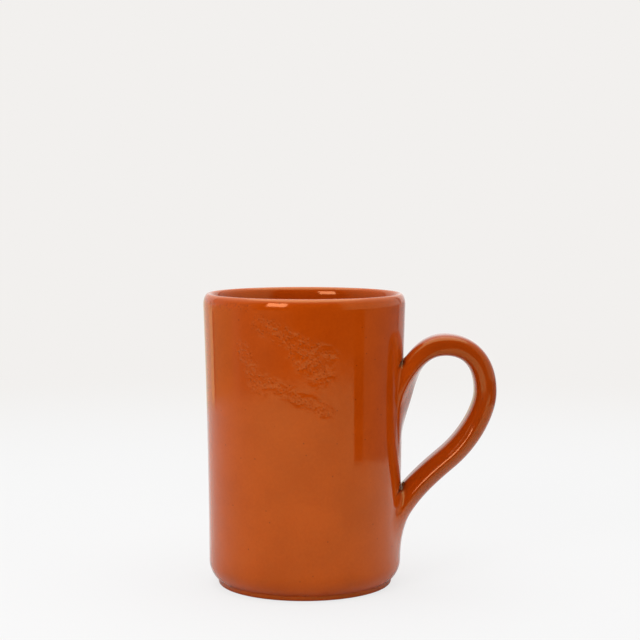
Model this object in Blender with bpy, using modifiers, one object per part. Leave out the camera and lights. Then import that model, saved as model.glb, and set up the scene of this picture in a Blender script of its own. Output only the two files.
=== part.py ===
"""A terracotta mug: a thrown cup with a pulled strap handle, luted on with clay slip.

Run with: blender --background --python part.py
Lengths are metres and +Z is up. The origin is the middle of the foot's underside, and
the handle stands at +X.
"""

import math

import bmesh
import bpy

# Driving dimensions of the thrown cup
CUP_HEIGHT = 0.125
RIM_RADIUS = 0.0428  # outside of the wall, just under the lip
HEEL_RADIUS = 0.0412  # outside of the wall, just above the heel
WALL_WAIST = 0.0003  # how far the wall draws in between rim and heel
WALL_THICKNESS = 0.0043
FLOOR_THICKNESS = 0.006
FLOOR_CORNER = 0.008  # radius inside, where the wall meets the floor
LIP_HEIGHT = 0.012  # from the rim down to where the lip runs into the wall
LIP_BEAD = 0.0004  # how far the lip stands out from the wall
LIP_ROUND = 0.0036  # height of the rounding on top of the lip
HEEL_HEIGHT = 0.008  # height of the turned curve above the foot
HEEL_INSET = 0.0039  # how far that curve draws in to the foot
FOOT_HEIGHT = 0.002
FOOT_EDGE = 0.0007  # rounding under the foot

# Driving dimensions of the pulled handle
HANDLE_WIDTH = 0.016
HANDLE_THICKNESS = 0.0094
HANDLE_REACH = 0.0358  # from the wall out to the strap's middle at the outermost bend
BEND_DROP = 0.0425  # from the rim down to the outermost bend
CROWN_DROP = 0.0226  # from the rim down to the strap's middle at the top of the loop
UPPER_ROOT_DROP = 0.0638  # from the rim down to where the upper end starts inside the wall
LOWER_ROOT_HEIGHT = 0.0064  # from the table up to where the lower end stops inside the wall

# Shape of the handle's loop, as shares of the spans that it crosses
CROWN_SHARE = 0.505  # how far out the crown is, of the reach
ARM_SHARE = 0.538  # how far out the lower arm's middle is, of the reach
ARM_LEVEL = 0.618  # how high it is, between the lower root and the bend
UPPER_ROOT_ANGLE = math.radians(80.8)  # the strap leaves the wall steeply upwards
ARM_ANGLE = math.radians(218)  # the lower arm slants back to the wall
SECTION_FULLNESS = 0.75  # 0.55 is an ellipse, 1 nearly a rectangle

# The slip that bonds the handle to the wall
SLIP_THICKNESS = 0.001
SLIP_BEAD = 0.0012  # how far the slip is squeezed out round the strap
SEAT_GAP = 0.0003  # clearance between touching pieces
ROOT_MARGIN = 0.0006  # how far inside the wall the buried ends of the strap keep

# Finish: linear colours and roughness from the photographed glaze
CUP_COLOUR = (0.43, 0.075, 0.010)
HANDLE_COLOUR = (0.40, 0.070, 0.010)
SLIP_COLOUR = (0.34, 0.055, 0.008)
GLAZE_ROUGHNESS = 0.12

# Fineness of the meshes
TURN_STEPS = 48
WALL_POINTS = 8
ARC_POINTS = 6
PATH_POINTS = 11
SECTION_POINTS = 4
MERGE_DISTANCE = 0.00001
SMOOTH_ANGLE = math.radians(35)

# Heights that several pieces share
HEEL_TOP = FOOT_HEIGHT + HEEL_HEIGHT
LIP_BOTTOM = CUP_HEIGHT - LIP_HEIGHT
UPPER_ROOT = CUP_HEIGHT - UPPER_ROOT_DROP
BEND = CUP_HEIGHT - BEND_DROP
ARM = LOWER_ROOT_HEIGHT + ARM_LEVEL * (BEND - LOWER_ROOT_HEIGHT)
BETWEEN_JOINTS = (UPPER_ROOT + ARM) / 2


def wall_radius(height):
    """Outside radius of the wall: a straight taper, drawn in a little between its ends."""
    share = (height - HEEL_TOP) / (LIP_BOTTOM - HEEL_TOP)
    share = min(max(share, 0.0), 1.0)
    taper = HEEL_RADIUS + (RIM_RADIUS - HEEL_RADIUS) * share
    return taper - WALL_WAIST * 4 * share * (1 - share)


def steps_between(low, high, count):
    """Evenly spaced values from low to high, both included."""
    return [low + (high - low) * index / (count - 1) for index in range(count)]


def arc(centre, radii, start, end, count=ARC_POINTS):
    """Points of an elliptical arc about centre, between two angles in degrees."""
    points = []
    for angle in steps_between(math.radians(start), math.radians(end), count):
        points.append((centre[0] + radii[0] * math.cos(angle), centre[1] + radii[1] * math.sin(angle)))
    return points


def wall_line(low, high, offset):
    """Points up the wall's outside from low to high, moved out by offset."""
    return [(wall_radius(z) + offset, z) for z in steps_between(low, high, WALL_POINTS)]


def cup_profile():
    """The cup's outline: across the floor, up inside, over the lip, down outside, under the foot."""
    corner_top = FLOOR_THICKNESS + FLOOR_CORNER
    corner_centre = wall_radius(corner_top) - WALL_THICKNESS - FLOOR_CORNER
    points = [(0.0, FLOOR_THICKNESS)]
    points += arc((corner_centre, corner_top), (FLOOR_CORNER, FLOOR_CORNER), -90, 0)
    points += wall_line(corner_top, LIP_BOTTOM, -WALL_THICKNESS)[1:]

    lip_half = (WALL_THICKNESS + LIP_BEAD) / 2
    lip_centre = RIM_RADIUS + LIP_BEAD - lip_half
    lip_base = CUP_HEIGHT - LIP_ROUND
    points += arc((lip_centre, lip_base), (lip_half, LIP_ROUND), 180, 0, 2 * ARC_POINTS + 1)
    for z in steps_between(lip_base, LIP_BOTTOM, ARC_POINTS)[1:]:
        share = (z - LIP_BOTTOM) / (lip_base - LIP_BOTTOM)
        points.append((RIM_RADIUS + LIP_BEAD * (1 - math.cos(math.pi * share)) / 2, z))

    points += reversed(wall_line(HEEL_TOP, LIP_BOTTOM, 0.0)[:-1])
    heel_turn = 2 * math.atan2(HEEL_INSET, HEEL_HEIGHT)
    heel_round = HEEL_HEIGHT / math.sin(heel_turn)
    heel_centre = (HEEL_RADIUS - heel_round, HEEL_TOP)
    points += arc(heel_centre, (heel_round, heel_round), 0, -math.degrees(heel_turn))[1:]

    foot_radius = HEEL_RADIUS - HEEL_INSET
    points += arc((foot_radius - FOOT_EDGE, FOOT_EDGE), (FOOT_EDGE, FOOT_EDGE), 0, -90)
    points.append((0.0, 0.0))
    return points


def plug_profile(offset):
    """A solid plug as wide as the wall and offset, to cut away what lies inside it."""
    low, high = -CUP_HEIGHT, 2 * CUP_HEIGHT
    side = [(wall_radius(low) + offset, low)]
    side += wall_line(HEEL_TOP, LIP_BOTTOM, offset)
    side.append((wall_radius(high) + offset, high))
    return [(0.0, high)] + side[::-1] + [(0.0, low)]


def slip_profile(low, high):
    """The closed outline of a thin sleeve on the wall, from low to high."""
    outside = wall_line(low, high, SEAT_GAP + SLIP_THICKNESS)
    inside = wall_line(low, high, SEAT_GAP)
    return outside[::-1] + inside


def collection(name):
    """A new collection in the scene."""
    made = bpy.data.collections.new(name)
    bpy.context.scene.collection.children.link(made)
    return made


def turned(name, profile, group, closed=False):
    """Turn an outline of (radius, height) points about Z into a solid."""
    count = len(profile)
    edges = [(index, index + 1) for index in range(count - 1)]
    if closed:
        edges.append((count - 1, 0))
    mesh = bpy.data.meshes.new(name)
    mesh.from_pydata([(radius, 0.0, height) for radius, height in profile], edges, [])
    solid = bpy.data.objects.new(name, mesh)
    group.objects.link(solid)
    screw = solid.modifiers.new("Turn", "SCREW")
    screw.steps = TURN_STEPS
    screw.render_steps = TURN_STEPS
    screw.use_merge_vertices = True
    screw.merge_threshold = MERGE_DISTANCE
    screw.use_smooth_shade = True
    return solid


def bezier(name, knots, cyclic, resolution):
    """A Bezier curve from (point, direction, pull in, pull out) knots in its own plane."""
    curve = bpy.data.curves.new(name, "CURVE")
    curve.dimensions = "3D"
    spline = curve.splines.new("BEZIER")
    spline.bezier_points.add(len(knots) - 1)
    spline.use_cyclic_u = cyclic
    spline.resolution_u = resolution
    for knot, (point, direction, pull_in, pull_out) in zip(spline.bezier_points, knots):
        knot.handle_left_type = "FREE"
        knot.handle_right_type = "FREE"
        knot.co = point
        knot.handle_left = [p - d * pull_in for p, d in zip(point, direction)]
        knot.handle_right = [p + d * pull_out for p, d in zip(point, direction)]
    return bpy.data.objects.new(name, curve)


def section_knots(half_width, half_thickness):
    """The strap's rounded section: four knots at its sides, width along X."""
    across = SECTION_FULLNESS * half_width
    through = SECTION_FULLNESS * half_thickness
    return [
        ((half_width, 0, 0), (0, 1, 0), through, through),
        ((0, half_thickness, 0), (-1, 0, 0), across, across),
        ((-half_width, 0, 0), (0, -1, 0), through, through),
        ((0, -half_thickness, 0), (1, 0, 0), across, across),
    ]


def path_knots():
    """The middle of the strap, from inside the wall over the crown and back into the wall.

    Each span's two pulls are shares of its length, so that the loop keeps its roundness.
    """
    buried = HANDLE_THICKNESS / 2 + SLIP_BEAD + ROOT_MARGIN
    bend_wall = wall_radius(BEND)
    places = [
        (wall_radius(UPPER_ROOT) - buried, UPPER_ROOT),
        (bend_wall + CROWN_SHARE * HANDLE_REACH, CUP_HEIGHT - CROWN_DROP),
        (bend_wall + HANDLE_REACH, BEND),
        (bend_wall + ARM_SHARE * HANDLE_REACH, ARM),
        (wall_radius(LOWER_ROOT_HEIGHT) - buried, LOWER_ROOT_HEIGHT),
    ]
    angles = [UPPER_ROOT_ANGLE, 0.0, -math.pi / 2, ARM_ANGLE, -math.pi / 2]
    pulls = [(0.0, 0.40), (0.32, 0.40), (0.47, 0.24), (0.42, 0.27), (0.41, 0.0)]
    spans = [0.0] + [math.dist(a, b) for a, b in zip(places, places[1:])] + [0.0]

    knots = []
    for index, ((out, height), angle, (pull_in, pull_out)) in enumerate(zip(places, angles, pulls)):
        direction = (math.cos(angle), 0, math.sin(angle))
        knots.append(((out, 0, height), direction, pull_in * spans[index], pull_out * spans[index + 1]))
    return knots


def strap(name, grow, group):
    """The handle's strap as a closed mesh, its section grown all round by grow."""
    knots = section_knots(HANDLE_WIDTH / 2 + grow, HANDLE_THICKNESS / 2 + grow)
    section = bezier(name + "_section", knots, True, SECTION_POINTS)
    path = bezier(name + "_path", path_knots(), False, PATH_POINTS)
    path.data.bevel_mode = "OBJECT"
    path.data.bevel_object = section
    path.data.use_fill_caps = True
    group.objects.link(section)
    group.objects.link(path)

    evaluated = path.evaluated_get(bpy.context.evaluated_depsgraph_get())
    mesh = bpy.data.meshes.new_from_object(evaluated)
    mesh.name = name
    solid = bpy.data.objects.new(name, mesh)
    solid.matrix_world = path.matrix_world
    group.objects.link(solid)
    bpy.data.objects.remove(path)
    bpy.data.objects.remove(section)

    shape = bmesh.new()
    shape.from_mesh(mesh)
    bmesh.ops.remove_doubles(shape, verts=shape.verts, dist=MERGE_DISTANCE)
    bmesh.ops.recalc_face_normals(shape, faces=shape.faces)
    shape.to_mesh(mesh)
    shape.free()
    mesh.shade_smooth()
    mesh.set_sharp_from_angle(angle=SMOOTH_ANGLE)
    return solid


def cut(solid, operation, cutter):
    """Cut a solid with another one, which is then only a guide."""
    boolean = solid.modifiers.new("Cut", "BOOLEAN")
    boolean.operation = operation
    boolean.solver = "EXACT"
    boolean.object = cutter
    cutter.hide_render = True
    cutter.display_type = "WIRE"


def finish(solid, name, colour):
    """Give a solid its own glazed material."""
    material = bpy.data.materials.new(name)
    material.use_nodes = True
    shader = material.node_tree.nodes["Principled BSDF"]
    shader.inputs["Base Color"].default_value = (*colour, 1.0)
    shader.inputs["Roughness"].default_value = GLAZE_ROUGHNESS
    shader.inputs["Metallic"].default_value = 0.0
    solid.data.materials.append(material)


def build():
    """Make the mug's four pieces and the guides that shape them."""
    for old in list(bpy.data.objects):
        bpy.data.objects.remove(old)
    pieces = collection("terracotta_mug")
    guides = collection("cutters")

    cup = turned("cup", cup_profile(), pieces)
    finish(cup, "glazed_terracotta_cup", CUP_COLOUR)

    handle = strap("handle", 0.0, pieces)
    seat = turned("handle_seat", plug_profile(SEAT_GAP + SLIP_THICKNESS + SEAT_GAP), guides)
    cut(handle, "DIFFERENCE", seat)
    finish(handle, "glazed_terracotta_handle", HANDLE_COLOUR)

    spread = strap("slip_spread", SLIP_BEAD, guides)
    joints = {
        "upper_luting_slip": (BETWEEN_JOINTS, LIP_BOTTOM),
        "lower_luting_slip": (HEEL_TOP, BETWEEN_JOINTS),
    }
    for name, (low, high) in joints.items():
        slip = turned(name, slip_profile(low, high), pieces, closed=True)
        cut(slip, "INTERSECT", spread)
        finish(slip, "glazed_" + name, SLIP_COLOUR)


build()
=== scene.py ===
# %% [markdown]
# # A glazed terracotta mug
#
# This notebook dresses the solid model of a hand-made mug: a cup thrown on the wheel, a strap handle
# pulled from a lump of clay, and the slip (liquid clay) that glues the two together. The solid model is
# exact but plain. Here every piece gets the surface that shows in a photograph: soft edges, the marks of
# the hands, and a glossy glaze.
#
# The first step loads the solid model. It stays untouched, and everything that follows is measured from it.

# %% Load the solid model
import math

import bmesh
import bpy
import numpy as np
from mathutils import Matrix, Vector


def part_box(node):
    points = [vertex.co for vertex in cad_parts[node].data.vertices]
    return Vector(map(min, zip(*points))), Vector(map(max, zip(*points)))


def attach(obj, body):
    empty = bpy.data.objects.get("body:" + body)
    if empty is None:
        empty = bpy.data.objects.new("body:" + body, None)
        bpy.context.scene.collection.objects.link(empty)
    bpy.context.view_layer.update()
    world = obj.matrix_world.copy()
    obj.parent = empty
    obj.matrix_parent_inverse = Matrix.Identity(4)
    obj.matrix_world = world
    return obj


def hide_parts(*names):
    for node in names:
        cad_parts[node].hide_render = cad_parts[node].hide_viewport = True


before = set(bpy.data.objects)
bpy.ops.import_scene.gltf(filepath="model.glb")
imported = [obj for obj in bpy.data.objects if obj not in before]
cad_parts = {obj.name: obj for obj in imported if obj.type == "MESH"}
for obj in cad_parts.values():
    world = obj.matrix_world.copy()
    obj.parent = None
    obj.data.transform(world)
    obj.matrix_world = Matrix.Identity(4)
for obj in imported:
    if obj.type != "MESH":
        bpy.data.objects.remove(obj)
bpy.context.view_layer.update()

MM = 0.001
cup_low, cup_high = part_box("cup")
_, handle_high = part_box("handle")
print("cup", [round(v / MM, 1) for v in cup_high - cup_low], "mm; nodes", sorted(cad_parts))

# %% [markdown]
# ## The camera
#
# A camera that matches a photograph has three unknowns: where it stood, where it looked and how long its
# lens was. The two ellipses of the mug give all of them: the rim looks flatter than the foot, because the
# camera is only a little above the rim, and how much flatter tells the distance. The picture is taken to be
# 640 pixels square, so a focal length in pixels turns into millimetres on a 36 mm sensor.

# %% Camera
PICTURE_PIXELS = 640
FOCAL_PIXELS = 1654
SENSOR_MM = 36
CAMERA_PLACE = (6.7 * MM, -706 * MM, 172 * MM)
CAMERA_PITCH = math.radians(4.76)
CAMERA_ROLL = math.radians(0.05)

scene = bpy.context.scene
camera = bpy.data.objects.new("camera", bpy.data.cameras.new("camera"))
scene.collection.objects.link(camera)
camera.location = CAMERA_PLACE
camera.rotation_euler = (math.pi / 2 - CAMERA_PITCH, CAMERA_ROLL, 0)
camera.data.sensor_width = SENSOR_MM
camera.data.lens = SENSOR_MM * FOCAL_PIXELS / PICTURE_PIXELS
scene.camera = camera
print("lens", round(camera.data.lens, 1), "mm")

# %% [markdown]
# ## From numbers to a mesh
#
# Every piece below is a grid of points: one direction of the grid runs along the piece and the other runs
# round it. Numpy works out all the points at once. What is left is to join neighbours with faces and to
# hand both lists to Blender. A row of points that shrinks to one spot, such as the middle of the cup's
# floor, is merged into a single point, so that the piece is closed.

# %% Grid to mesh
MERGE_DISTANCE = 0.001 * MM


def grid_faces(rows, columns, wrap_rows=False):
    """Quads of a grid whose columns close into rings: each joins a point to its next row and next column."""
    row = np.arange(rows if wrap_rows else rows - 1)[:, None]
    column = np.arange(columns)[None, :]
    next_row = (row + 1) % rows
    next_column = (column + 1) % columns
    corners = [row * columns + column, row * columns + next_column,
               next_row * columns + next_column, next_row * columns + column]
    return np.stack(corners, axis=-1).reshape(-1, 4).tolist()


def make_piece(name, points, faces):
    """A smooth-shaded mesh object from an array of points, with doubles merged and faces turned outwards."""
    mesh = bpy.data.meshes.new(name)
    mesh.from_pydata(points.reshape(-1, 3).tolist(), [], faces)
    shape = bmesh.new()
    shape.from_mesh(mesh)
    bmesh.ops.remove_doubles(shape, verts=shape.verts, dist=MERGE_DISTANCE)
    bmesh.ops.recalc_face_normals(shape, faces=shape.faces)
    volume = shape.calc_volume(signed=True)
    shape.to_mesh(mesh)
    shape.free()
    mesh.shade_smooth()
    piece = bpy.data.objects.new(name, mesh)
    scene.collection.objects.link(piece)
    print(name, len(mesh.polygons), "faces,", round(volume / MM**3 / 1000, 2), "cubic centimetres")
    return piece


def points_of(piece):
    """All of a piece's points as one array."""
    points = np.empty(len(piece.data.vertices) * 3, dtype=np.float32)
    piece.data.vertices.foreach_get("co", points)
    return points.reshape(-1, 3)


def paint(piece, name, values):
    """Store one number for each point, which a material can read by this name."""
    attribute = piece.data.attributes.new(name, "FLOAT", "POINT")
    attribute.data.foreach_set("value", np.clip(values, 0, 1).astype(np.float32))

# %% [markdown]
# ## The cup's outline
#
# A cup from the wheel is round, so one outline says nearly everything about it. The outline starts in the
# middle of the floor, climbs the inside, rolls over the lip, comes down the outside, turns in at the heel
# and ends under the foot. A straight wall would look machined: this one draws in slightly between rim and
# heel, as a thrown wall does. Heights and radii that the solid model holds are read from it, and the rest
# are the potter's sizes.

# %% Sizes and outline of the cup
CUP_HEIGHT = cup_high.z
LIP_RADIUS = cup_high.x
LIP_INSIDE = 5.2 * MM
LIP_OUTSIDE = 5.0 * MM
HEEL_RADIUS = 41.2 * MM
WALL_WAIST = 0.4 * MM
WALL_THICKNESS = 4.3 * MM
FLOOR_THICKNESS = 6 * MM
FLOOR_CORNER = 8 * MM
HEEL_HEIGHT = 8 * MM
HEEL_INSET = 3.9 * MM
FOOT_HEIGHT = 2 * MM
FOOT_EDGE = 0.7 * MM
HEEL_TOP = FOOT_HEIGHT + HEEL_HEIGHT
LIP_CREST = LIP_RADIUS - WALL_THICKNESS / 2
LIP_BOTTOM = CUP_HEIGHT - LIP_OUTSIDE

# Points along each stretch of the outline
FLOOR_POINTS = 30
CORNER_POINTS = 14
WALL_POINTS = 60
INNER_LIP_POINTS = 12
OUTER_LIP_POINTS = 16
HEEL_POINTS = 20
FOOT_SIDE_POINTS = 6
FOOT_EDGE_POINTS = 8
UNDERSIDE_POINTS = 16


def wall_radius(height):
    """Outside of the wall: a straight taper from heel to rim, less a parabola that is deepest half way."""
    share = np.clip((height - HEEL_TOP) / (LIP_BOTTOM - HEEL_TOP), 0, 1)
    return HEEL_RADIUS + (LIP_RADIUS - HEEL_RADIUS) * share - WALL_WAIST * 4 * share * (1 - share)


def arc(centre, radii, start, end, count):
    """Points of an elliptical arc from one angle to another, in degrees, as (radius, height) rows."""
    angle = np.radians(np.linspace(start, end, count))
    return np.stack([centre[0] + radii[0] * np.cos(angle), centre[1] + radii[1] * np.sin(angle)], axis=1)


def wall_line(low, high, offset, count):
    """Points up the wall from low to high, moved out by offset, as (radius, height) rows."""
    height = np.linspace(low, high, count)
    return np.stack([wall_radius(height) + offset, height], axis=1)


def cup_outline():
    """The cup's outline as (radius, height) rows, and for each row 1 inside, 0 outside."""
    corner_top = FLOOR_THICKNESS + FLOOR_CORNER
    corner_centre = wall_radius(corner_top) - WALL_THICKNESS - FLOOR_CORNER
    floor_radii = np.linspace(0, corner_centre, FLOOR_POINTS)
    floor = np.stack([floor_radii, np.full(FLOOR_POINTS, FLOOR_THICKNESS)], axis=1)
    corner = arc((corner_centre, corner_top), (FLOOR_CORNER, FLOOR_CORNER), -90, 0, CORNER_POINTS)

    lip_half = WALL_THICKNESS / 2
    lip_start = CUP_HEIGHT - LIP_INSIDE
    inner_wall = wall_line(corner_top, lip_start, -WALL_THICKNESS, WALL_POINTS)
    inner_lip = arc((LIP_CREST, lip_start), (lip_half, LIP_INSIDE), 180, 90, INNER_LIP_POINTS)
    outer_lip = arc((LIP_CREST, LIP_BOTTOM), (lip_half, LIP_OUTSIDE), 90, 0, OUTER_LIP_POINTS)
    outer_wall = wall_line(HEEL_TOP, LIP_BOTTOM, 0, WALL_POINTS)[::-1]

    heel_turn = 2 * math.atan2(HEEL_INSET, HEEL_HEIGHT)
    heel_round = HEEL_HEIGHT / math.sin(heel_turn)
    heel_centre = (HEEL_RADIUS - heel_round, HEEL_TOP)
    heel = arc(heel_centre, (heel_round, heel_round), 0, -math.degrees(heel_turn), HEEL_POINTS)
    foot_radius = HEEL_RADIUS - HEEL_INSET
    foot_heights = np.linspace(FOOT_HEIGHT, FOOT_EDGE, FOOT_SIDE_POINTS)
    foot_side = np.stack([np.full(FOOT_SIDE_POINTS, foot_radius), foot_heights], axis=1)
    flat_radius = foot_radius - FOOT_EDGE
    foot_edge = arc((flat_radius, FOOT_EDGE), (FOOT_EDGE, FOOT_EDGE), 0, -90, FOOT_EDGE_POINTS)
    under_radii = np.linspace(flat_radius, 0, UNDERSIDE_POINTS)
    underside = np.stack([under_radii, np.zeros(UNDERSIDE_POINTS)], axis=1)

    within = [floor, corner[1:], inner_wall[1:], inner_lip[1:]]
    without = [outer_lip[1:], outer_wall[1:], heel[1:], foot_side[1:], foot_edge[1:], underside[1:]]
    outline = np.concatenate(within + without)
    inside = np.arange(len(outline)) < sum(len(part) for part in within)
    return outline, inside.astype(float)


outline, inside = cup_outline()
print("outline of", len(outline), "points, widest", round(outline[:, 0].max() / MM, 2), "mm")

# %% [markdown]
# ## The thrown cup
#
# Spinning the outline gives the cup. What tells a thrown cup from a cast one is in the small departures:
# the fingers leave a spiral of low ridges inside, the handle pulls the soft wall slightly oval, and the lip
# is not quite level. Each is one term added to the radius or the height, so the marks are real shape and
# show from every side.

# %% Thrown cup
TURN_STEPS = 288
RIDGE_SPACING = 7.5 * MM
RIDGE_HEIGHT = 0.14 * MM
RIDGES_BELOW_LIP = 12 * MM
SPIRAL_HEIGHT = 0.12 * MM
OVAL = 0.25 * MM
LIP_WAVE = 0.1 * MM
LIP_HIGH_SIDE = math.radians(-150)


def smooth_step(start, end, value):
    """0 up to start, 1 from end on, and a smooth S between them. Either of the two may be the larger."""
    share = np.clip((value - start) / (end - start), 0, 1)
    return share * share * (3 - 2 * share)


def drawn_oval(radius, angle):
    """How far a radius is drawn in at an angle: nothing along X, most along Y."""
    return OVAL * radius / LIP_RADIUS * (1 - np.cos(2 * angle)) / 2


def thrown_cup():
    """The outline turned about Z: (r cos a, r sin a, z), with the throwing marks added to r and z."""
    angle = np.linspace(0, 2 * np.pi, TURN_STEPS, endpoint=False)[None, :]
    radius = outline[:, :1] + np.zeros_like(angle)
    height = outline[:, 1:] + np.zeros_like(angle)
    within = inside[:, None] * smooth_step(CUP_HEIGHT, CUP_HEIGHT - RIDGES_BELOW_LIP, height)
    on_wall = smooth_step(FLOOR_THICKNESS, FLOOR_THICKNESS + FLOOR_CORNER, height)

    ridges = np.cos(2 * np.pi * height / RIDGE_SPACING - angle)
    spiral = np.cos(2 * np.pi * radius / RIDGE_SPACING - angle) * smooth_step(0, RIDGE_SPACING, radius)
    radius = radius + within * on_wall * RIDGE_HEIGHT * ridges
    radius = radius - drawn_oval(radius, angle)
    height = height + within * (1 - on_wall) * SPIRAL_HEIGHT * spiral
    near_lip = smooth_step(LIP_BOTTOM, CUP_HEIGHT, height)
    height = height + near_lip * LIP_WAVE * (np.cos(angle - LIP_HIGH_SIDE) - 1)
    return np.stack([radius * np.cos(angle), radius * np.sin(angle), height], axis=-1)


cup = make_piece("thrown_cup", thrown_cup(), grid_faces(len(outline), TURN_STEPS))

# %% [markdown]
# ## The handle's path
#
# A pulled handle hangs from the potter's hand and then is bent to the cup, so its middle line is one easy
# curve: steeply up out of the wall, over the crown, down round the outermost bend and back in a long slant.
# Five knots joined by cubic Bezier spans describe it. Two of them come from the solid model's box, which
# knows how high and how far out the strap reaches.

# %% Path of the strap
STRAP_THICKNESS = 9.4 * MM
BEND_DROP = 42.5 * MM
UPPER_ROOT_DROP = 77.9 * MM
BEND_HEIGHT = CUP_HEIGHT - BEND_DROP
UPPER_ROOT = CUP_HEIGHT - UPPER_ROOT_DROP
LOWER_ROOT = 6.4 * MM
UPPER_DEPTH = 5.2 * MM
LOWER_DEPTH = 8.5 * MM

# Crown, bend and arm as shares of the strap's reach, and the arm's share of the way up to the bend
CROWN_SHARE = 0.505
BEND_SHARE = 0.991
ARM_SHARE = 0.546
ARM_LEVEL = 0.618

# The way the path heads at each knot, and the two pulls of each span as shares of its length
KNOT_ANGLES = np.radians([86.4, 0, -90, 220.5, -90])
PULLS_OUT = np.array([0.486, 0.40, 0.225, 0.26])
PULLS_IN = np.array([0.284, 0.47, 0.41, 0.435])

bend_wall = wall_radius(BEND_HEIGHT)
reach = handle_high.x - STRAP_THICKNESS / 2 - bend_wall
knots = np.array([
    (wall_radius(UPPER_ROOT) - UPPER_DEPTH, UPPER_ROOT),
    (bend_wall + CROWN_SHARE * reach, handle_high.z - STRAP_THICKNESS / 2),
    (bend_wall + BEND_SHARE * reach, BEND_HEIGHT),
    (bend_wall + ARM_SHARE * reach, LOWER_ROOT + ARM_LEVEL * (BEND_HEIGHT - LOWER_ROOT)),
    (wall_radius(LOWER_ROOT) - LOWER_DEPTH, LOWER_ROOT),
])
headings = np.stack([np.cos(KNOT_ANGLES), np.sin(KNOT_ANGLES)], axis=1)
lengths = np.linalg.norm(np.diff(knots, axis=0), axis=1)[:, None]
spans = np.stack([
    knots[:-1],
    knots[:-1] + headings[:-1] * lengths * PULLS_OUT[:, None],
    knots[1:] - headings[1:] * lengths * PULLS_IN[:, None],
    knots[1:],
], axis=1)


def path_point(share):
    """Point and unit direction at each share of the path, whose Bezier spans take equal parts of it."""
    count = len(spans)
    span = np.clip((share * count).astype(int), 0, count - 1)
    t = (share * count - span)[..., None]
    a, b, c, d = np.moveaxis(spans[span], -2, 0)
    point = (1 - t) ** 3 * a + 3 * (1 - t) ** 2 * t * b + 3 * (1 - t) * t**2 * c + t**3 * d
    slope = (1 - t) ** 2 * (b - a) + 2 * (1 - t) * t * (c - b) + t**2 * (d - c)
    return point, slope / np.linalg.norm(slope, axis=-1, keepdims=True)


print("strap", round(float(lengths.sum()) / MM), "mm between its knots, reach", round(reach / MM, 1), "mm")

# %% [markdown]
# ## The pulled handle
#
# The strap is a rounded oblong carried along the path. Its thickness, width and squareness change from knot
# to knot, and towards the lower end its edges are drawn out to a low ridge. Each end flares where a thumb
# has pressed it to the wall, less on the far side, and the upper root is twisted and set a little to the
# near side. Both ends run into the wall at a slant, so the lines along the strap have unequal lengths: those
# on top meet the wall first. Each line therefore stops just under the wall's surface, and nothing pokes
# through to the inside of the cup.

# %% Pulled handle
# Sizes at the five knots: half the thickness outwards and inwards, half the width, and the oblong's form
OUTER_HALF = np.array([3.6, 4.9, 4.8, 4.35, 5.8]) * MM
INNER_HALF = np.array([3.6, 4.3, 4.8, 5.65, 4.8]) * MM
HALF_WIDTH = np.array([8.3, 8.8, 8.8, 9.8, 10.5]) * MM
SQUARENESS = np.array([3.1, 3.4, 3.0, 4.5, 2.4])
RIDGE = np.array([0.0, 0.0, 0.12, 0.4, 0.36])

# Share of the path, spread and size of the widening where each end is pressed to the wall
FLARES = [(0.106, 0.07, 5.4 * MM), (0.915, 0.05, 4.0 * MM)]
FAR_FLARE = 0.6

# The upper root's twist grows from that of its end to its full size, then fades, as the sideways set does
END_TWIST, TWIST = np.radians([-3.8, 16.6])
TWIST_RISE, TWIST_FROM, TWIST_TO = 0.115, 0.08, 0.26
ROOT_SKEW = -3.5 * MM
SKEW_TO = 0.35

# Depth at which the strap's lines stop under the wall, and the least step between points bunched up there
EMBED = 0.8 * MM
SLIVER = 1e-5

# Lines along the strap, rings round it, and steps in the search for where a line meets the wall
STRAP_LINES = 144
STRAP_RINGS = 220
SEARCH_STEPS = 1201


def between_knots(share, values):
    """Values at the path's knots, joined by a smooth step along each span."""
    count = len(values) - 1
    span = np.clip((share * count).astype(int), 0, count - 1)
    t = share * count - span
    return values[span] + (values[span + 1] - values[span]) * t * t * (3 - 2 * t)


def strap_point(share, turn):
    """A point on the strap: the path plus a rounded oblong, twisted and set aside near the upper root.

    Through the strap the oblong is half cos^(2/p), and across it width sin^(2/p) (1 - ridge cos^(2/p)).
    A larger p is squarer, and a larger ridge draws the edges out.
    """
    middle, heading = path_point(share)
    cos, sin = np.cos(turn), np.sin(turn)
    half = np.where(cos > 0, between_knots(share, OUTER_HALF), between_knots(share, INNER_HALF))
    flare = sum(size * np.exp(-((share - place) / spread) ** 2) for place, spread, size in FLARES)
    width = between_knots(share, HALF_WIDTH) + flare * np.where(sin > 0, FAR_FLARE, 1)
    power = 2 / between_knots(share, SQUARENESS)
    level = np.abs(cos) ** power
    through = half * np.sign(cos) * level
    ridge = 1 - between_knots(share, RIDGE) * level
    across = width * np.sign(sin) * np.abs(sin) ** power * ridge
    twist = END_TWIST + (TWIST - END_TWIST) * smooth_step(0, TWIST_RISE, share)
    twist = twist * (1 - smooth_step(TWIST_FROM, TWIST_TO, share))
    skew = ROOT_SKEW * (1 - smooth_step(0, SKEW_TO, share))
    outwards = through * np.cos(twist) - across * np.sin(twist)
    sideways = across * np.cos(twist) + through * np.sin(twist) + skew
    out = middle[..., 0] - heading[..., 1] * outwards
    height = middle[..., 1] + heading[..., 0] * outwards
    return np.stack([out, sideways, height], axis=-1)


def outside_wall(points, depth):
    """How far points stand outside the wall's surface when that is moved in by depth."""
    angle = np.arctan2(points[..., 1], points[..., 0])
    radius = wall_radius(points[..., 2])
    return np.hypot(points[..., 0], points[..., 1]) - radius + drawn_oval(radius, angle) + depth


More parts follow.
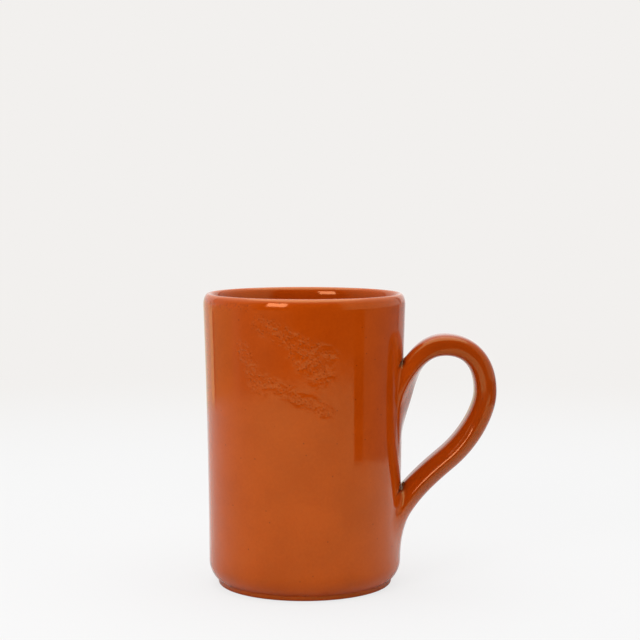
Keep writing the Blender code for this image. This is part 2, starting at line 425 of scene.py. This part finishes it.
def wall_crossings(turn, depth):
    """Shares of the path at which each line of the strap leaves and re-enters the wall."""
    share = np.linspace(0, 1, SEARCH_STEPS)
    beyond = outside_wall(strap_point(share[:, None] + 0 * turn, turn + 0 * share[:, None]), depth)
    lines = np.arange(len(turn))
    first = np.maximum(np.argmax(beyond > 0, axis=0), 1)
    last = SEARCH_STEPS - 1 - np.argmax(beyond[::-1] > 0, axis=0)
    step = share[1]
    before, after = beyond[first - 1, lines], beyond[first, lines]
    leaves = share[first - 1] - step * before / (after - before)
    before, after = beyond[last, lines], beyond[last + 1, lines]
    enters = share[last] + step * before / (before - after)
    return leaves, enters


turns = np.linspace(0, 2 * np.pi, STRAP_LINES, endpoint=False)
leaves, enters = wall_crossings(turns, EMBED)
along = np.linspace(leaves.min(), enters.max(), STRAP_RINGS)[:, None]
shares = np.clip(along, leaves + SLIVER * along, enters - SLIVER * (1 - along))
strap = strap_point(shares, turns + 0 * along)
caps = strap[[0, -1]].mean(axis=1)
cap_faces = []
for ring, middle in ((0, STRAP_RINGS * STRAP_LINES), (STRAP_RINGS - 1, STRAP_RINGS * STRAP_LINES + 1)):
    start = ring * STRAP_LINES
    cap_faces += [(start + i, start + (i + 1) % STRAP_LINES, middle) for i in range(STRAP_LINES)]
handle_points = np.concatenate([strap.reshape(-1, 3), caps])
handle = make_piece("pulled_handle", handle_points, grid_faces(STRAP_RINGS, STRAP_LINES) + cap_faces)

# %% [markdown]
# ## The slip in the joints
#
# The potter scores both surfaces, brushes on slip, presses the strap to the wall and smears the edges down
# with a wet thumb. That leaves a hollow curve, a cove, all the way round each joint: narrow where the strap
# meets the wall in a crease, broad where it has been smeared out. A cove is a cubic Bezier arc from a point
# on the strap to a point on the wall. Its two handles lie along the strap and along the wall, so it joins
# both without an edge. Past each end it dives slowly under the surface it has met, and one row of points
# sunk into the clay behind closes it into a solid ring.

# %% Slip coves
COVE_STEPS = 10
COVE_LINES = 144
HANDLE_PULL = 0.6

# How far past each end of a cove its dive goes on and how deep it is there, and the depth of the last row
DIVES = [(0.7 * MM, 0.02 * MM), (1.4 * MM, 0.15 * MM)]
COVE_DEPTH = 0.6 * MM

# Short steps along the strap's path and over the wall that show which way each surface runs
PATH_STEP = 1e-3
WALL_STEP = 0.1 * MM

# Reach on the strap and on the wall, at the strap's back, sides and inside
UPPER_COVE = np.array([(0.8, 0.8), (3.0, 3.0), (3.0, 2.0)]) * MM
LOWER_COVE = np.array([(10.5, 11.5), (6.0, 6.0), (1.6, 1.2)]) * MM


def unit(vectors):
    """Vectors scaled to a length of one."""
    return vectors / np.linalg.norm(vectors, axis=-1, keepdims=True)


def wall_place(flat, depth=0.0):
    """The wall's point at a place given as (angle, height), sunk in by depth."""
    angle, height = flat[..., 0], flat[..., 1]
    radius = wall_radius(height) - drawn_oval(wall_radius(height), angle) - depth
    return np.stack([radius * np.cos(angle), radius * np.sin(angle), height], axis=-1)


def strap_place(share, turn, depth):
    """The strap's point at a share of its path, sunk towards the path by depth."""
    surface = strap_point(share, turn)
    core, _ = path_point(share)
    return surface + depth * unit(np.stack([core[:, 0], 0 * turn, core[:, 1]], axis=-1) - surface)


def slip_cove(inward, sizes):
    """Rings of the cove round one joint, where inward is 1 at the path's start and -1 at its end.

    From strap to wall the points follow (1-b)^3 strap + 3b(1-b)^2 strap handle + 3b^2(1-b) wall handle
    + b^3 wall, with the dives before and after them.
    """
    turn = np.linspace(0, 2 * np.pi, COVE_LINES, endpoint=False)
    back, sides, within = np.cos(turn).clip(0), np.sin(turn), (-np.cos(turn)).clip(0)
    weights = np.stack([back**2, sides**2, within**2], axis=1)
    strap_reach, wall_reach = (weights @ sizes).T
    share = wall_crossings(turn, 0.0)[0 if inward > 0 else 1]
    crease = strap_point(share, turn)
    step = PATH_STEP * inward
    per_length = step / np.linalg.norm(strap_point(share + step, turn) - crease, axis=-1)
    start = share + per_length * strap_reach
    on_strap = strap_point(start, turn)
    down_strap = unit(strap_point(start - step, turn) - on_strap)

    flat = np.stack([np.arctan2(crease[:, 1], crease[:, 0]), crease[:, 2]], axis=1)
    scale = np.stack([wall_radius(flat[:, 1]), 1 + 0 * turn], axis=1)
    run = (np.roll(flat, -1, axis=0) - np.roll(flat, 1, axis=0)) * scale
    away = unit(np.stack([run[:, 1], -run[:, 0]], axis=1))
    away *= np.sign(((flat - flat.mean(axis=0)) * scale * away).sum(axis=1, keepdims=True))
    foot = flat + wall_reach[:, None] * away / scale
    on_wall = wall_place(foot)
    up_wall = unit(wall_place(foot - WALL_STEP * away / scale) - on_wall)

    b = np.linspace(0, 1, COVE_STEPS)[:, None, None]
    strap_handle = on_strap + HANDLE_PULL * strap_reach[:, None] * down_strap
    wall_handle = on_wall + HANDLE_PULL * wall_reach[:, None] * up_wall
    cove = ((1 - b) ** 3 * on_strap + 3 * b * (1 - b) ** 2 * strap_handle
            + 3 * b**2 * (1 - b) * wall_handle + b**3 * on_wall)
    strap_dives = [strap_place(start + per_length * far, turn, depth) for far, depth in DIVES]
    wall_dives = [wall_place(foot + far * away / scale, depth) for far, depth in DIVES]
    return np.stack([*strap_dives[::-1], *cove, *wall_dives, wall_place(flat, COVE_DEPTH)])


coves = {}
for name, inward, sizes in (("upper_slip_cove", 1, UPPER_COVE), ("lower_slip_cove", -1, LOWER_COVE)):
    rings = slip_cove(inward, sizes)
    coves[name] = make_piece(name, rings, grid_faces(len(rings), COVE_LINES, wrap_rows=True))

# %% [markdown]
# ## Where the glaze is thick and thin, and where light and shade are painted
#
# Glaze melts in the kiln and creeps a little: it draws back from sharp edges, where the clay shows paler
# through it, and gathers in hollows, where it looks deeper. The paler colour along the lip's crest is also a
# painted reflection of the bright ceiling. The darker colour at the heel's corner and in the crevice between
# strap and wall is partly pooled glaze and partly painted shade, darkest in the crevice, and the handle is
# painted darker the further it stands from the wall, as painted shade. Where the brush or a finger has
# touched it, it stays uneven. Each of these is worked out here as one number for each point, and the
# material reads them by name.

# %% Glaze thickness and painted light and shade
# How far the lip's crest is paler: thinner glaze there, and a painted reflection of the bright ceiling
THIN_SHEEN_FROM = 0.4 * MM
THIN_SHEEN_REACH = 2.6 * MM
# Darker colour round the heel's corner and the strap's creases: pooled glaze and painted shade
POOL_SHADE_REACH = 3.2 * MM
# Darkest colour in the crevice between strap and wall: gathered glaze and painted shade
CREVICE_FROM = 0.6 * MM
CREVICE_REACH = 2.6 * MM
# Strength of the darker colour at the heel's corner: pooled glaze and painted shade
FOOT_POOL_SHADE = 0.3
# The handle is painted darker away from the wall, as painted shade: this share, reached at this distance
HANDLE_SHADE = 0.75
HANDLE_SHADE_FROM = 12 * MM
STROKE_CORE = 0.3
OUTSIDE_MARGIN = 1 * MM


def stroke(places, start, end, width):
    """1 along a stroke of the brush between two (across, height) places, fading to 0 at its width."""
    start, end = np.array(start) * MM, np.array(end) * MM
    along = end - start
    share = np.clip(((places - start) @ along) / (along @ along), 0, 1)[:, None]
    aside = np.linalg.norm(places - start - share * along, axis=1)
    return 1 - smooth_step(STROKE_CORE * width * MM, width * MM, aside)


# Marks of the glazing brush and of fingers: from and to in mm round the cup and up it, and the width in mm
STROKES = [
    ((-18, 115), (-2, 107), 6.0), ((-2, 109), (12, 102), 3.5), ((-2, 104), (7, 94), 7.0),
    ((-20, 93), (10, 79), 4.5), ((-26, 104), (-18, 89), 5.5), ((-46, 121), (-23, 121.5), 2.5),
    ((60, 60), (85, 88), 5.0), ((120, 30), (100, 52), 4.0), ((-95, 90), (-70, 100), 4.0),
    ((150, 100), (170, 90), 5.0),
]

cup_points = points_of(cup)
cup_reach = np.hypot(cup_points[:, 0], cup_points[:, 1])
from_crest = np.hypot(cup_reach - LIP_CREST, cup_points[:, 2] - CUP_HEIGHT)
from_corner = np.hypot(cup_reach - (HEEL_RADIUS - HEEL_INSET), cup_points[:, 2] - FOOT_HEIGHT)
# Paler towards the lip's crest: thinner glaze, and a painted reflection of the ceiling
paint(cup, "thin_sheen", 1 - smooth_step(THIN_SHEEN_FROM, THIN_SHEEN_REACH, from_crest))
# Darker at the heel's corner: pooled glaze and painted shade
paint(cup, "pool_shade", FOOT_POOL_SHADE * (1 - smooth_step(0, POOL_SHADE_REACH, from_corner)))
round_cup = np.arctan2(cup_points[:, 0], -cup_points[:, 1]) * HEEL_RADIUS
places = np.stack([round_cup, cup_points[:, 2]], axis=1)
outer = smooth_step(LIP_CREST, LIP_RADIUS - OUTSIDE_MARGIN, cup_reach)
paint(cup, "uneven", outer * np.max([stroke(places, *mark) for mark in STROKES], axis=0))
paint(cup, "crevice_shade", 0 * cup_reach)

upper_crease = strap_point(wall_crossings(np.zeros(1), 0.0)[0], np.zeros(1))[0, 2]
lower_crease = strap_point(wall_crossings(np.full(1, np.pi), 0.0)[1], np.full(1, np.pi))[0, 2]
for piece in (handle, *coves.values()):
    points = points_of(piece)
    clear = outside_wall(points, 0)
    from_levels = [abs(points[:, 2] - crease) for crease in (upper_crease, lower_crease)]
    from_crease = np.hypot(clear, np.minimum(*from_levels))
    # The handle is painted darker with its distance from the wall, as painted shade
    away_shade = HANDLE_SHADE * smooth_step(0, HANDLE_SHADE_FROM, clear)
    paint(piece, "thin_sheen", 0 * clear)
    paint(piece, "uneven", 0 * clear)
    # Darkest in the crease between strap and wall: gathered glaze and painted shade
    paint(piece, "crevice_shade", 1 - smooth_step(CREVICE_FROM, CREVICE_REACH, from_crease))
    # Darker near the creases and away from the wall: pooled glaze and painted shade
    paint(piece, "pool_shade", np.maximum(away_shade, 1 - smooth_step(0, POOL_SHADE_REACH, from_crease)))
print("glaze painted on", 2 + len(coves), "pieces")

# %% [markdown]
# ## Material helpers
#
# Colours are written as the hex values a paint program shows. Blender mixes light in linear values, so one
# function converts them. A second one adds a node: its settings, its stops if it is a colour ramp, and its
# inputs, each a plain value or the output of another node. The short ones after it name what the node trees
# do most: arithmetic, one range turned into another, a colour between two others, noise and round spots.

# %% Colour and node helpers
MIX_A = 6
MIX_B = 7
MIX_RESULT = 2


def linear(hex_colour):
    """Linear RGBA from an sRGB hex colour."""
    srgb = np.array([int(hex_colour[i:i + 2], 16) for i in (1, 3, 5)]) / 255
    rgb = np.where(srgb <= 0.04045, srgb / 12.92, ((srgb + 0.055) / 1.055) ** 2.4)
    return (*rgb.tolist(), 1.0)


def add(tree, kind, inputs=None, stops=None, **settings):
    """Add a node: settings are its properties, stops its ramp, and inputs are values or outputs to link."""
    made = tree.nodes.new(kind)
    for name, value in settings.items():
        setattr(made, name, value)
    for index, (position, colour) in enumerate(stops or []):
        if index < 2:
            made.color_ramp.elements[index].position = position
        else:
            made.color_ramp.elements.new(position)
        made.color_ramp.elements[index].color = colour
    for key, value in (inputs or {}).items():
        if isinstance(value, bpy.types.NodeSocket):
            tree.links.new(value, made.inputs[key])
        else:
            made.inputs[key].default_value = value
    return made


def calculate(tree, operation, *values):
    """The result of one operation of the Math node on its values."""
    return add(tree, "ShaderNodeMath", dict(enumerate(values)), operation=operation).outputs[0]


def remap(tree, value, start=0.0, end=1.0, low=0.0, high=1.0, curve="LINEAR"):
    """low where the value is at start, high where it is at end, and a line or a smooth step between them."""
    inputs = {"Value": value, "From Min": start, "From Max": end, "To Min": low, "To Max": high}
    return add(tree, "ShaderNodeMapRange", inputs, interpolation_type=curve).outputs[0]


def blend(tree, amount, first, second):
    """A colour that goes from the first to the second as the amount goes from 0 to 1."""
    inputs = {0: amount, MIX_A: first, MIX_B: second}
    return add(tree, "ShaderNodeMix", inputs, data_type="RGBA").outputs[MIX_RESULT]


def per_metre(size_mm):
    """A texture's scale from the size of its features in millimetres."""
    return 1 / (size_mm * MM)


def noise(tree, place, size_mm, detail):
    """Soft random patches of about this size, as a number between 0 and 1."""
    inputs = {"Vector": place, "Scale": per_metre(size_mm), "Detail": detail}
    return add(tree, "ShaderNodeTexNoise", inputs).outputs["Fac"]


def spots(tree, place, spacing_mm, edge, core, strength=1.0):
    """Round spots: full strength within core of the middle, falling to 0 at the edge, both in spacings."""
    inputs = {"Vector": place, "Scale": per_metre(spacing_mm)}
    distance = add(tree, "ShaderNodeTexVoronoi", inputs).outputs["Distance"]
    return remap(tree, distance, edge, core, 0.0, strength)


def new_material(name):
    """An empty material with an output and a Principled shader already joined."""
    material = bpy.data.materials.new(name)
    material.use_nodes = True
    tree = material.node_tree
    return material, tree, tree.nodes["Principled BSDF"]

# %% [markdown]
# ## Glazed terracotta
#
# Terracotta is red earthenware: iron in the clay fires to orange. A clear glaze lies over it like a varnish
# of glass, so the colour is the clay's and the shine is the glaze's. Glass has an IOR of about 1.5, and
# a good glaze is almost mirror smooth. Four things keep it from looking like plastic: the clay's colour
# drifts in soft clouds, specks of iron break it, the glaze is faintly uneven, so that reflections have
# a wavering edge, and in the brush marks it is mottled and pricked with pinholes.

# %% Glazed terracotta material
CLAY = "#BC4706"
CLAY_DEEP = "#B24103"
# Paler clay where the glaze is thin, which is also the painted reflection of the ceiling on the lip's crest
CLAY_THIN_SHEEN = "#C66640"
# Darker colour of pooled glaze and of painted shade at the heel's corner, in the creases and on the handle;
# also inside the pinholes
GLAZE_POOL_SHADE = "#9C3806"
# Iron specks, and also the painted shade in the crevice between strap and wall
IRON_SPECK_AND_SHADE = "#5E1E06"
CLOUD_MM = 22
CLOUD_DETAIL = 4.0
CLOUD_SHARE = 0.7
GRAIN_MM = 1.1
GRAIN_DETAIL = 2.0
GRAIN_SHARE = 0.3
TONE_DEEP, TONE_FULL = 0.38, 0.62
SPECK_SPACING_MM = 5.5
SPECK_EDGE, SPECK_CORE = 0.07, 0.04
SPECK_STRENGTH = 0.6
PEEL_MM = 2.4
PEEL_DETAIL = 2.0
PEEL_HEIGHT_MM = 0.012
HOLE_SPACING_MM = 1.2
HOLE_EDGE, HOLE_CORE = 0.5, 0.1
HOLES_FROM, HOLES_FULL = 0.4, 0.52
STROKE_HEIGHT_MM = 0.05
GLAZE_ROUGHNESS = 0.07
GLAZE_IOR = 1.5
GLAZE_TINT = (1.0, 0.9, 0.34, 1.0)

# Depth of the pinholes and height of the mottling, as multiples of the stroke's height
HOLE_DEPTH = 1.1
MOTTLE_HEIGHT = 9.0
MOTTLE_MM = 4.0
MOTTLE_DETAIL = 3.0


def glazed_terracotta(name):
    """Clay colour from clouds, grain and specks, with thin and pooled glaze, painted sheen and painted
    shade, under gloss.
    """
    material, tree, shader = new_material(name)
    place = add(tree, "ShaderNodeTexCoord").outputs["Object"]
    thin_sheen, pool_shade, uneven, crevice_shade = (add(tree, "ShaderNodeAttribute", attribute_name=painted).outputs["Fac"]
                                     for painted in ("thin_sheen", "pool_shade", "uneven", "crevice_shade"))

    clouds = noise(tree, place, CLOUD_MM, CLOUD_DETAIL)
    grain = noise(tree, place, GRAIN_MM, GRAIN_DETAIL)
    drift = calculate(tree, "MULTIPLY", clouds, CLOUD_SHARE)
    tone = calculate(tree, "MULTIPLY_ADD", grain, GRAIN_SHARE, drift)
    clay = add(tree, "ShaderNodeValToRGB", {"Fac": tone},
               stops=[(TONE_DEEP, linear(CLAY_DEEP)), (TONE_FULL, linear(CLAY))])

    speck = spots(tree, place, SPECK_SPACING_MM, SPECK_EDGE, SPECK_CORE, SPECK_STRENGTH)
    hole = spots(tree, place, HOLE_SPACING_MM, HOLE_EDGE, HOLE_CORE)
    patchy = remap(tree, grain, HOLES_FROM, HOLES_FULL)
    pits = calculate(tree, "MULTIPLY", hole, patchy)
    pits = calculate(tree, "MULTIPLY", pits, uneven)
    # Layers over the clay: thin glaze with painted sheen, pooled glaze with painted shade, pinholes, iron
    # specks, and painted shade in the crevice
    layers = [(thin_sheen, CLAY_THIN_SHEEN), (pool_shade, GLAZE_POOL_SHADE), (pits, GLAZE_POOL_SHADE),
              (speck, IRON_SPECK_AND_SHADE), (crevice_shade, IRON_SPECK_AND_SHADE)]
    colour = clay.outputs["Color"]
    for amount, shade in layers:
        colour = blend(tree, amount, colour, linear(shade))
    tree.links.new(colour, shader.inputs["Base Color"])

    peel = noise(tree, place, PEEL_MM, PEEL_DETAIL)
    bump = add(tree, "ShaderNodeBump", {"Height": peel, "Distance": PEEL_HEIGHT_MM * MM})
    mottle = noise(tree, place, MOTTLE_MM, MOTTLE_DETAIL)
    swell = remap(tree, mottle, low=-MOTTLE_HEIGHT / 2, high=MOTTLE_HEIGHT / 2)
    swell = calculate(tree, "MULTIPLY", swell, uneven)
    height = calculate(tree, "MULTIPLY_ADD", pits, -HOLE_DEPTH, swell)
    bump = add(tree, "ShaderNodeBump", {"Height": height, "Distance": STROKE_HEIGHT_MM * MM,
                                        "Normal": bump.outputs["Normal"]})
    tree.links.new(bump.outputs["Normal"], shader.inputs["Normal"])
    shader.inputs["Roughness"].default_value = GLAZE_ROUGHNESS
    shader.inputs["IOR"].default_value = GLAZE_IOR
    shader.inputs["Specular Tint"].default_value = GLAZE_TINT
    return material


glaze = glazed_terracotta("glazed_terracotta")

# %% [markdown]
# ## Bare clay underneath
#
# A mug can't be glazed where it stands in the kiln, or it would stick to the shelf. The underside is bare
# fired clay: matt, a little paler, and gritty.

# %% Bare terracotta material
BARE_CLAY = "#B8653C"
BARE_CLAY_DARK = "#A4532D"
BARE_DARK, BARE_PALE = 0.35, 0.65
GRIT_MM = 0.7
GRIT_DETAIL = 3.0
GRIT_HEIGHT_MM = 0.05
BARE_ROUGHNESS = 0.85


def bare_terracotta(name):
    """Matt clay whose colour and bump follow a fine grit."""
    material, tree, shader = new_material(name)
    place = add(tree, "ShaderNodeTexCoord").outputs["Object"]
    grit = noise(tree, place, GRIT_MM, GRIT_DETAIL)
    clay = add(tree, "ShaderNodeValToRGB", {"Fac": grit},
               stops=[(BARE_DARK, linear(BARE_CLAY_DARK)), (BARE_PALE, linear(BARE_CLAY))])
    bump = add(tree, "ShaderNodeBump", {"Height": grit, "Distance": GRIT_HEIGHT_MM * MM})
    tree.links.new(clay.outputs["Color"], shader.inputs["Base Color"])
    tree.links.new(bump.outputs["Normal"], shader.inputs["Normal"])
    shader.inputs["Roughness"].default_value = BARE_ROUGHNESS
    return material


bare = bare_terracotta("bare_terracotta")

# %% [markdown]
# ## Dressing the model
#
# Each piece takes the place of its plain solid and rides on the model's one body. The cup has two
# materials: the lowest faces, under the foot, are bare, and the rest are glazed.

# %% Assign materials and bodies
BARE_HEIGHT = 0.3 * MM

cup.data.materials.append(glaze)
cup.data.materials.append(bare)
faces_height = np.array([face.center.z for face in cup.data.polygons])
cup.data.polygons.foreach_set("material_index", (faces_height < BARE_HEIGHT).astype(np.int32))
handle.data.materials.append(glaze)
for cove in coves.values():
    cove.data.materials.append(glaze)

stands_for = {"thrown_cup": "cup", "pulled_handle": "handle",
              "upper_slip_cove": "upper_luting_slip", "lower_slip_cove": "lower_luting_slip"}
for piece in (cup, handle, *coves.values()):
    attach(piece, "root")
    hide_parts(stands_for[piece.name])
print("dressed", len(stands_for), "pieces")

# %% [markdown]
# ## The studio
#
# A glossy pot shows the room it stands in. The upright wall of this one mirrors what lies low around it:
# white paper to the left and behind, a white card close by on the right, and nothing but a dark room in
# front. The lip and the handle are rounded, so they mirror what is higher up too: a softbox at the front
# left and a bright ceiling. The world holds all but the softbox, as brightness by compass direction below
# and above the horizon, and the ceiling. The camera itself sees only a plain pale backdrop.

# %% World
BACKDROP = "#F2F0EE"
CEILING = 2.5

# Heights on the sky, as sines of the angle above the horizon, where each change begins and is complete
HORIZON_FROM, HORIZON_FULL = -0.02, 0.04
CEILING_FROM, CEILING_FULL = math.sin(math.radians(50)), math.sin(math.radians(56))

# Compass directions in degrees from the camera's side, positive to the right, with the brightness there:
# one number for a neutral light, or red, green and blue
BELOW = [
    (-180, (0.9, 0.86, 0.7)), (-140, (0.9, 0.86, 0.7)), (-134, (1.3, 1.1, 0.65)), (-129.5, (1.4, 1.2, 0.7)),
    (-128.5, 0.12), (-127, 0.12), (-124, (0.45, 0.47, 0.26)), (-95, (0.62, 0.64, 0.4)), (-84, 0.6),
    (-72, 0.35), (-46, 0.38), (-25, 0.2), (-6, 0.03), (57, 0.03), (58, 0.0), (71, 0.0), (73, 0.27),
    (131, 0.27), (134, 0.15), (135.5, 0.15), (137, 0.55), (157, 0.57), (165, 0.8), (170, 1.0), (180, 1.0),
]
ABOVE = [
    (-180, 0.9), (-131, 0.9), (-127, 0.25), (-122, 0.5), (-70, 0.5), (-50, 0.04), (40, 0.04), (50, 0.7),
    (137, 0.7), (140, 0.25), (143, 0.25), (146, 1.0), (180, 1.0),
]


def compass_and_height(tree, place):
    """The angle round the upright axis, 0 towards the camera and positive to the right, and the height."""
    way = add(tree, "ShaderNodeSeparateXYZ", {0: place})
    front = calculate(tree, "MULTIPLY", way.outputs["Y"], -1.0)
    return calculate(tree, "ARCTAN2", way.outputs["X"], front), way.outputs["Z"]


def ring_stops(ring):
    """A ring of compass directions as the stops of a ramp that runs from -180 to 180 degrees."""
    return [((angle + 180) / 360, (*np.broadcast_to(level, 3), 1)) for angle, level in ring]


world = bpy.data.worlds.new("studio")
scene.world = world
world.use_nodes = True
tree = world.node_tree
tree.nodes.clear()
compass, height = compass_and_height(tree, add(tree, "ShaderNodeTexCoord").outputs["Generated"])
share = remap(tree, compass, -math.pi, math.pi)
below, above = (add(tree, "ShaderNodeValToRGB", {"Fac": share}, stops=ring_stops(ring)).outputs["Color"]
                for ring in (BELOW, ABOVE))
over_horizon = remap(tree, height, HORIZON_FROM, HORIZON_FULL, curve="SMOOTHSTEP")
overhead = remap(tree, height, CEILING_FROM, CEILING_FULL, curve="SMOOTHSTEP")
light = blend(tree, over_horizon, below, above)
light = blend(tree, overhead, light, (CEILING, CEILING, CEILING, 1))
seen = add(tree, "ShaderNodeLightPath").outputs["Is Camera Ray"]
shown = blend(tree, seen, light, linear(BACKDROP))
background = add(tree, "ShaderNodeBackground", {"Color": shown})
add(tree, "ShaderNodeOutputWorld", {"Surface": background.outputs[0]})
print("studio with", len(BELOW) + len(ABOVE), "directions")

# %% [markdown]
# ## The softbox
#
# A softbox is a lamp behind a large white cloth. An area lamp of the same size gives its soft light, and
# a glowing sheet in the same place gives its image in the glaze: the bright window on the lip and the line
# along the handle. The sheet has a brightness and a colour of its own, chosen by how that image looks under
# the glaze's tint.

# %% Softbox
SOFTBOX_COMPASS = math.radians(-31)
SOFTBOX_RISE = math.radians(25)
SOFTBOX_DISTANCE = 0.65
SOFTBOX_WIDTH = 0.24
SOFTBOX_HEIGHT = 0.23
SOFTBOX_BRIGHTNESS = 7.4
CLOTH_BRIGHTNESS = 12.0
CLOTH_COLOUR = "#FFBAC8"

lamp = bpy.data.lights.new("softbox", "AREA")
lamp.shape = "RECTANGLE"
lamp.size = SOFTBOX_WIDTH
lamp.size_y = SOFTBOX_HEIGHT
lamp.energy = SOFTBOX_BRIGHTNESS * math.pi * SOFTBOX_WIDTH * SOFTBOX_HEIGHT
softbox = bpy.data.objects.new("softbox", lamp)
scene.collection.objects.link(softbox)
flat = SOFTBOX_DISTANCE * math.cos(SOFTBOX_RISE)
softbox.location = (flat * math.sin(SOFTBOX_COMPASS), -flat * math.cos(SOFTBOX_COMPASS),
                    CUP_HEIGHT + SOFTBOX_DISTANCE * math.sin(SOFTBOX_RISE))
softbox.rotation_euler = (math.pi / 2 - SOFTBOX_RISE, 0, SOFTBOX_COMPASS)
softbox.visible_camera = False
softbox.visible_glossy = False

half_size = np.array([SOFTBOX_WIDTH, SOFTBOX_HEIGHT, 0]) / 2
corners = np.array([(-1, -1, 0), (1, -1, 0), (1, 1, 0), (-1, 1, 0)]) * half_size
cloth_mesh = bpy.data.meshes.new("softbox_cloth")
cloth_mesh.from_pydata(corners.tolist(), [], [(0, 1, 2, 3)])
cloth = bpy.data.objects.new("softbox_cloth", cloth_mesh)
scene.collection.objects.link(cloth)
cloth.location = softbox.location
cloth.rotation_euler = softbox.rotation_euler
cloth.visible_camera = False
cloth.visible_diffuse = False
cloth.visible_shadow = False
material, tree, _ = new_material("glowing_cloth")
glow = add(tree, "ShaderNodeEmission", {"Color": linear(CLOTH_COLOUR), "Strength": CLOTH_BRIGHTNESS})
tree.links.new(glow.outputs[0], tree.nodes["Material Output"].inputs["Surface"])
cloth_mesh.materials.append(material)
print("softbox of", round(lamp.energy, 1), "watts")

# %% [markdown]
# ## The fill light
#
# The room in front isn't black for the clay: some light comes back from it and lifts the right side. It is
# too faint and too wide to show as an image in the glaze, so this lamp is hidden from reflections.

# %% Fill light
FILL_PLACE = (-0.14, -1.0, 0.80)
FILL_TILT = math.radians(55)
FILL_SIZE = 0.9
FILL_POWER = 0.9

lamp = bpy.data.lights.new("fill", "AREA")
lamp.size = FILL_SIZE
lamp.energy = FILL_POWER
fill = bpy.data.objects.new("fill", lamp)
scene.collection.objects.link(fill)
fill.location = FILL_PLACE
fill.rotation_euler = (FILL_TILT, 0, math.atan2(FILL_PLACE[0], -FILL_PLACE[1]))
fill.visible_camera = False
fill.visible_glossy = False

# %% [markdown]
# ## The floor
#
# The floor is white paper that fades into the backdrop at its edge, so that no line shows behind the mug.
# It is bright enough almost to burn out, so only a faint shadow is left: for the camera, most of its
# brightness is a glow and the rest is true light and shade. In the glaze's reflections the paper fades out
# a little over half a metre away, further off at the front than at the left, and the dark room begins. From
# the right side on, the card hides what lies behind it.

# %% Floor
FLOOR = "#F8F8F8"
PAPER = "#D7D7D7"
TABLE_RADIUS = 800 * MM
FADE_FROM = 250 * MM
FLOOR_DROP = 0.2 * MM
FLOOR_STEPS = 96
BURNT_OUT = 0.8
PAPER_FROM = 495 * MM
PAPER_TO_LEFT = 590 * MM
PAPER_TO_FRONT = 720 * MM
CARD_DISTANCE = 325 * MM

# Compass directions in radians: where the paper's edge is nearest and furthest, and where the card begins
PAPER_LEFT, PAPER_FRONT = -0.4, 0.2
CARD_COMPASS = math.radians(57)

angle = np.linspace(0, 2 * np.pi, FLOOR_STEPS, endpoint=False)
ring = np.stack([np.cos(angle), np.sin(angle), 0 * angle], axis=1)
table_points = np.stack([0 * ring, ring]) * TABLE_RADIUS - np.array([0, 0, FLOOR_DROP])
table = make_piece("table", table_points, grid_faces(2, FLOOR_STEPS))

material, tree, _ = new_material("white_paper")
place = add(tree, "ShaderNodeTexCoord").outputs["Object"]
ray = add(tree, "ShaderNodeLightPath").outputs
distance = add(tree, "ShaderNodeVectorMath", {0: place}, operation="LENGTH").outputs["Value"]
compass, _ = compass_and_height(tree, place)

end = remap(tree, compass, PAPER_LEFT, PAPER_FRONT, PAPER_TO_LEFT, PAPER_TO_FRONT)
beyond = remap(tree, distance, PAPER_FROM, end, curve="SMOOTHSTEP")
right = calculate(tree, "GREATER_THAN", compass, CARD_COMPASS)
behind = calculate(tree, "GREATER_THAN", distance, CARD_DISTANCE)
screened = calculate(tree, "MULTIPLY", right, behind)
hidden = calculate(tree, "MAXIMUM", beyond, screened)
gone = calculate(tree, "MULTIPLY", hidden, ray["Is Glossy Ray"])
far = remap(tree, distance, FADE_FROM, TABLE_RADIUS, curve="SMOOTHSTEP")
fade = remap(tree, far, low=BURNT_OUT)
fading = calculate(tree, "MULTIPLY", fade, ray["Is Camera Ray"])
glow_colour = blend(tree, far, linear(FLOOR), linear(BACKDROP))

paper = add(tree, "ShaderNodeBsdfDiffuse", {"Color": linear(PAPER)}).outputs[0]
glow = add(tree, "ShaderNodeEmission", {"Color": glow_colour}).outputs[0]
nothing = add(tree, "ShaderNodeBsdfTransparent").outputs[0]
look = add(tree, "ShaderNodeMixShader", {0: fading, 1: paper, 2: glow}).outputs[0]
look = add(tree, "ShaderNodeMixShader", {0: gone, 1: look, 2: nothing}).outputs[0]
tree.links.new(look, tree.nodes["Material Output"].inputs["Surface"])
table.data.materials.append(material)

# %% [markdown]
# ## Colour management
#
# The Standard view shows a colour as it is written.

# %% Finish
scene.view_settings.view_transform = "Standard"
